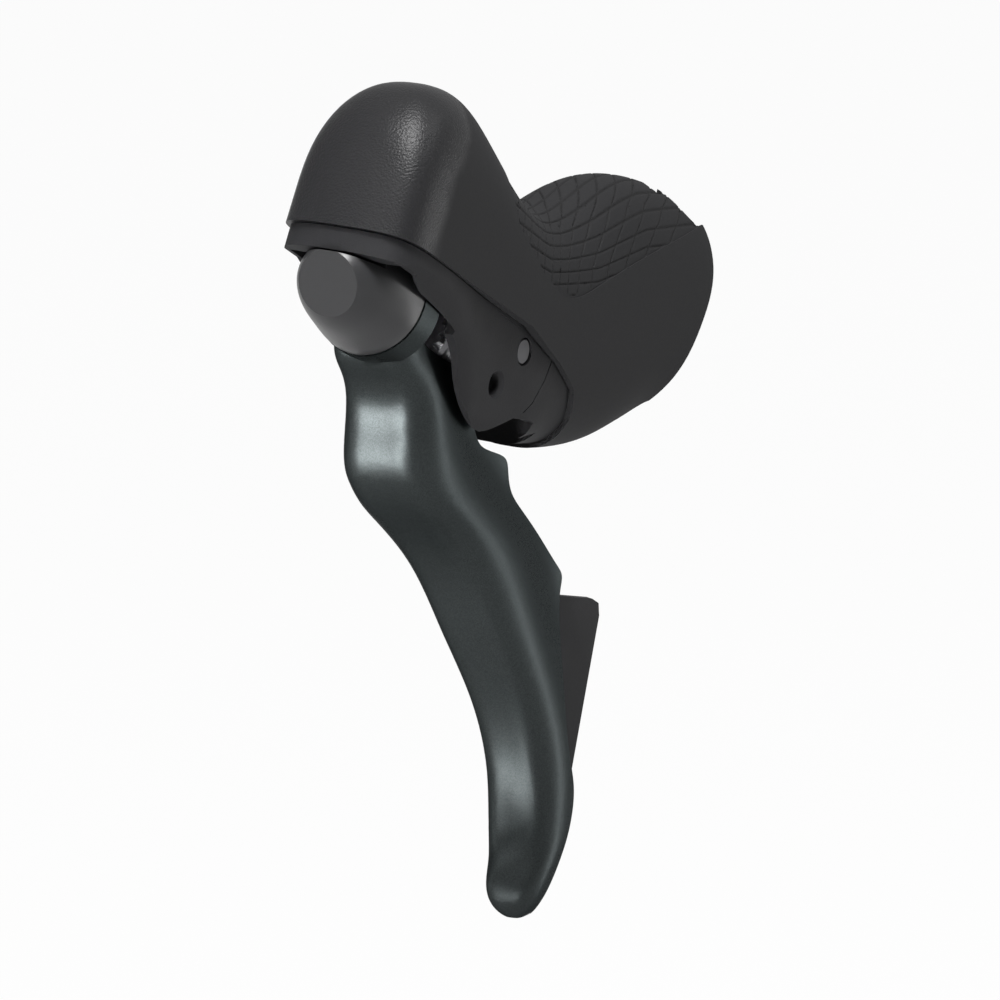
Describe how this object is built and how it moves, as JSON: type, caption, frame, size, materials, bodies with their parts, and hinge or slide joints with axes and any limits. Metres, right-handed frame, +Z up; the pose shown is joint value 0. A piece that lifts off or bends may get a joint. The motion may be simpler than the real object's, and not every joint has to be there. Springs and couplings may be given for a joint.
{
  "type": "road brake shift lever",
  "caption": "Drop-bar hydraulic brake and shift lever: rubber hood, curved brake blade that also swings inward to shift, and a small release paddle behind it.",
  "frame": {"origin": "centre of the handlebar clamp, on the bar axis", "axes": "+Z up as the lever hangs on the bicycle, -Y forward to the nose, +X outward to the rider's left; the bar axis leans 32 degrees back from +Z"},
  "size_m": [0.0332, 0.1406, 0.1887],
  "materials": {
    "hood_rubber": "matte grained black rubber",
    "bracket_plastic": "matte black moulded plastic",
    "steel": "plain bright steel",
    "dark_steel": "black oxide steel",
    "seal_rubber": "soft black rubber",
    "brass": "turned brass",
    "inner_plastic": "grey acetal plastic",
    "cast_aluminium": "cast aluminium",
    "cap_plastic": "satin black plastic",
    "blade_paint": "satin dark grey-green paint on aluminium",
    "paddle_plastic": "matte charcoal plastic"
  },
  "bodies": {
    "bracket": {"bracket_body": "bracket_plastic", "hood": "hood_rubber", "clamp_band": "steel", "clamp_nut": "steel", "clamp_bolt": "dark_steel", "pivot_pin": "steel", "stop_clip": "steel", "piston_spring": "steel", "reservoir_diaphragm": "seal_rubber", "reservoir_lid": "bracket_plastic", "reservoir_screws": "steel", "bleed_screw": "steel", "bleed_ring": "seal_rubber", "hose_nut": "brass"},
    "carrier": {"lever_carrier": "cast_aluminium", "pivot_bushes": "brass", "lever_spring": "steel", "reach_screw": "steel", "shift_axle": "steel", "axle_nut": "steel", "axle_washer": "steel", "nose_cap": "cap_plastic", "pawl_pin": "steel"},
    "main_lever": {"blade": "blade_paint", "drive_plate": "steel", "shift_spring": "steel"},
    "release_paddle": {"paddle_arm": "steel", "release_pad": "paddle_plastic", "pad_rivets": "steel", "release_spring": "steel"},
    "drum": {"cable_drum": "inner_plastic", "ratchet_wheel": "steel", "drive_pin": "steel", "drum_spring": "steel"},
    "pawl": {"holding_pawl": "steel"},
    "piston": {"piston": "inner_plastic", "rear_seal": "seal_rubber", "front_seal": "seal_rubber", "push_rod": "steel"}
  },
  "joints": [
    {"name": "brake_pull", "type": "hinge", "parent": "bracket", "child": "carrier", "pos_m": [0, -0.07017, 0.00847], "axis": [1, 0, 0], "range_deg": [0, 14], "stiffness_Nm_per_rad": 0.6, "springref_deg": -28.65},
    {"name": "shift_swing", "type": "hinge", "parent": "carrier", "child": "main_lever", "pos_m": [0, -0.10637, 0.02602], "axis": [0, 0.848, -0.5299], "range_deg": [0, 18], "stiffness_Nm_per_rad": 0.3, "springref_deg": -28.65},
    {"name": "release_swing", "type": "hinge", "parent": "main_lever", "child": "release_paddle", "pos_m": [0, -0.10298, 0.0239], "axis": [0, 0.848, -0.5299], "range_deg": [0, 10], "stiffness_Nm_per_rad": 0.1, "springref_deg": -22.92},
    {"name": "drum_turn", "type": "hinge", "parent": "carrier", "child": "drum", "pos_m": [0, -0.09026, 0.01596], "axis": [0, 0.848, -0.5299], "range_deg": [0, 18.5]},
    {"name": "pawl_lift", "type": "hinge", "parent": "carrier", "child": "pawl", "pos_m": [0.0074, -0.09021, 0.02453], "axis": [0, 0.848, -0.5299], "range_deg": [0, 10.5]},
    {"name": "piston_slide", "type": "slide", "parent": "bracket", "child": "piston", "axis": [0, -0.848, 0.5299], "range_m": [0, 0.0052], "deforming": ["piston_spring"]}
  ],
  "couplings": [
    {"joint": "drum_turn", "follows": "shift_swing", "ratio": 1},
    {"joint": "pawl_lift", "follows": "release_swing", "ratio": 1},
    {"joint": "piston_slide", "follows": "brake_pull", "m_per_rad": 0.0207}
  ]
}
